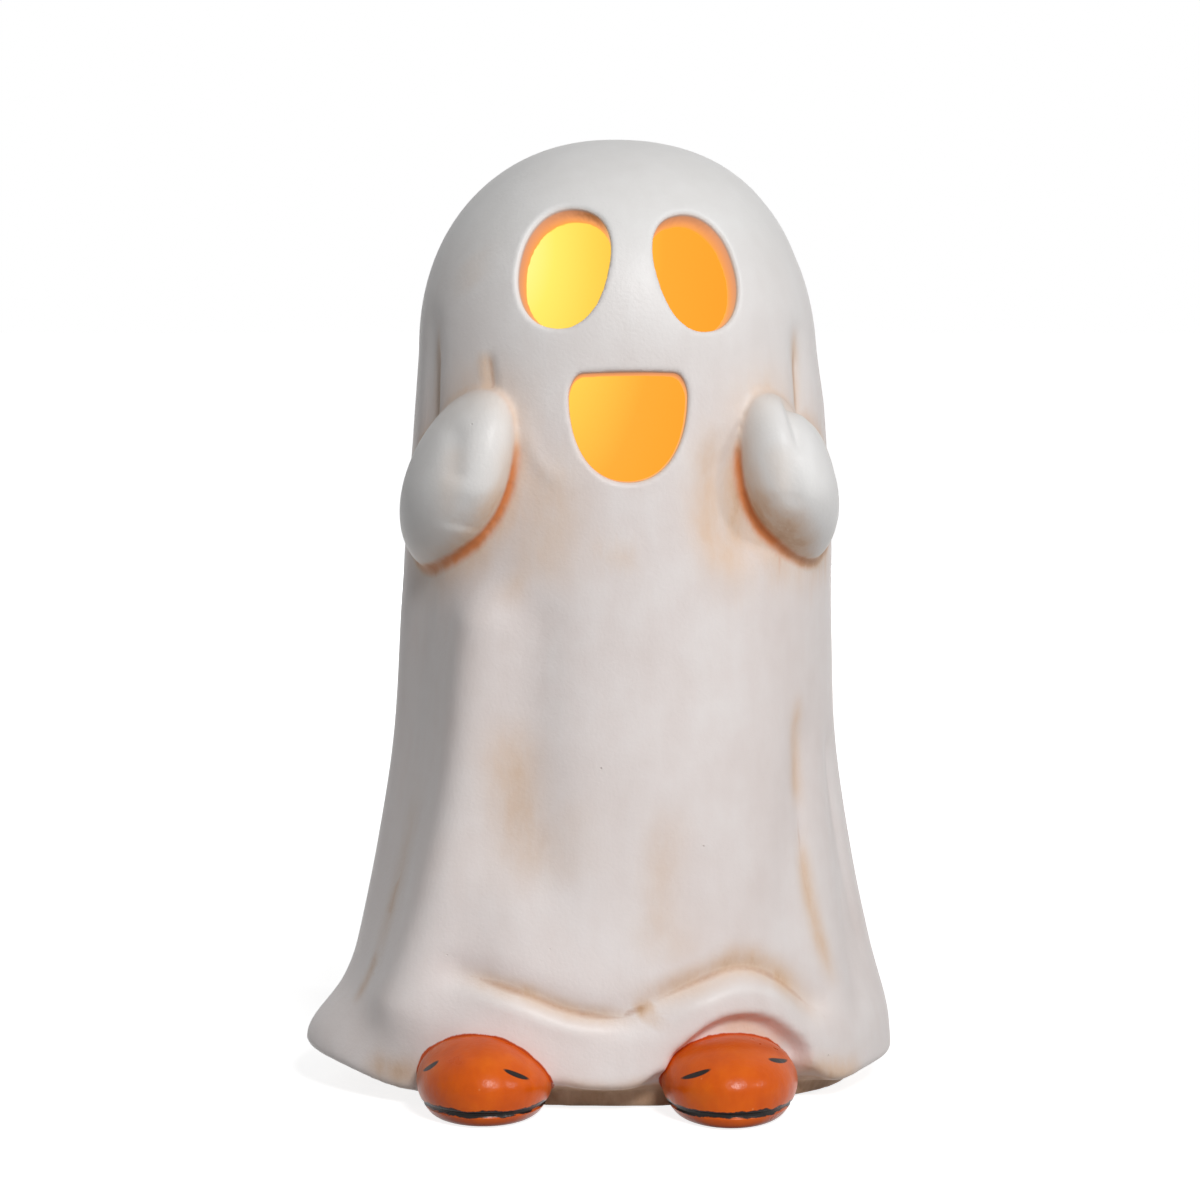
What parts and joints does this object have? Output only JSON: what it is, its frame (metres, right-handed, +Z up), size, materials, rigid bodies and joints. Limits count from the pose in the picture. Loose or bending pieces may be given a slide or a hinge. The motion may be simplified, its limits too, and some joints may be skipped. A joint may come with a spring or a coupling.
{
  "type": "light-up ghost figurine",
  "caption": "Hollow cast ghost figurine with cut-out eyes and mouth, raised hands, orange shoes and a battery light unit with switch and screwed door in its base.",
  "frame": {"origin": "centre of the bounding box in plan, on the surface that the figurine stands on", "axes": "+Z up along the figurine's height; the ghost's face looks along -Y; +X is to the right of a person who faces the ghost"},
  "size_m": [0.1126, 0.0946, 0.18],
  "materials": {
    "white_glaze": "satin white paint with brushed brown and orange stain in the creases",
    "orange_paint": "satin orange paint with black brush lines",
    "white_plastic": "fine moulded texture",
    "door_plastic": "fine moulded texture",
    "black_plastic": "satin",
    "foam": "foam tape",
    "cell_sleeve": "printed sleeve, plain",
    "nickel": "nickel plate",
    "spring_steel": "bright wire",
    "circuit_green": "solder mask",
    "lamp_resin": "clear epoxy, lit",
    "frosted_plastic": "frosted, lit from inside",
    "red_wire": "wire insulation",
    "black_wire": "wire insulation",
    "component_beige": "lacquer"
  },
  "bodies": {
    "figure": {"ghost_shell": "white_glaze", "left_arm": "white_glaze", "right_arm": "white_glaze", "left_shoe": "orange_paint", "right_shoe": "orange_paint", "light_housing": "white_plastic", "foam_seal": "foam", "battery_1": "cell_sleeve", "battery_2": "cell_sleeve", "spring_1": "spring_steel", "spring_2": "spring_steel", "bridge_plate": "nickel", "positive_terminal": "nickel", "negative_terminal": "nickel", "switch_case": "nickel", "switch_wire_1": "red_wire", "switch_wire_2": "black_wire", "circuit_board": "circuit_green", "led_lamp": "lamp_resin", "timer_chip": "black_plastic", "resistor": "component_beige", "capacitor": "black_plastic", "lamp_cover": "white_plastic", "cover_screw_left": "nickel", "cover_screw_right": "nickel", "diffuser_dome": "frosted_plastic"},
    "battery_door": {"battery_door": "door_plastic"},
    "door_screw": {"door_screw": "nickel"},
    "switch_slider": {"switch_slider": "black_plastic"}
  },
  "joints": [
    {"name": "door_hinge", "type": "hinge", "parent": "figure", "child": "battery_door", "pos_m": [-0.02489, 0.00096, 0.0024], "axis": [0, 1, 0], "range_deg": [0, 60]},
    {"name": "door_screw_turn", "type": "hinge", "parent": "battery_door", "child": "door_screw", "pos_m": [0.02921, 0.00096, 0.002], "axis": [0, 0, -1], "continuous": true},
    {"name": "switch_slide", "type": "slide", "parent": "figure", "child": "switch_slider", "axis": [1, 0, 0], "range_m": [-0.003, 0]}
  ]
}
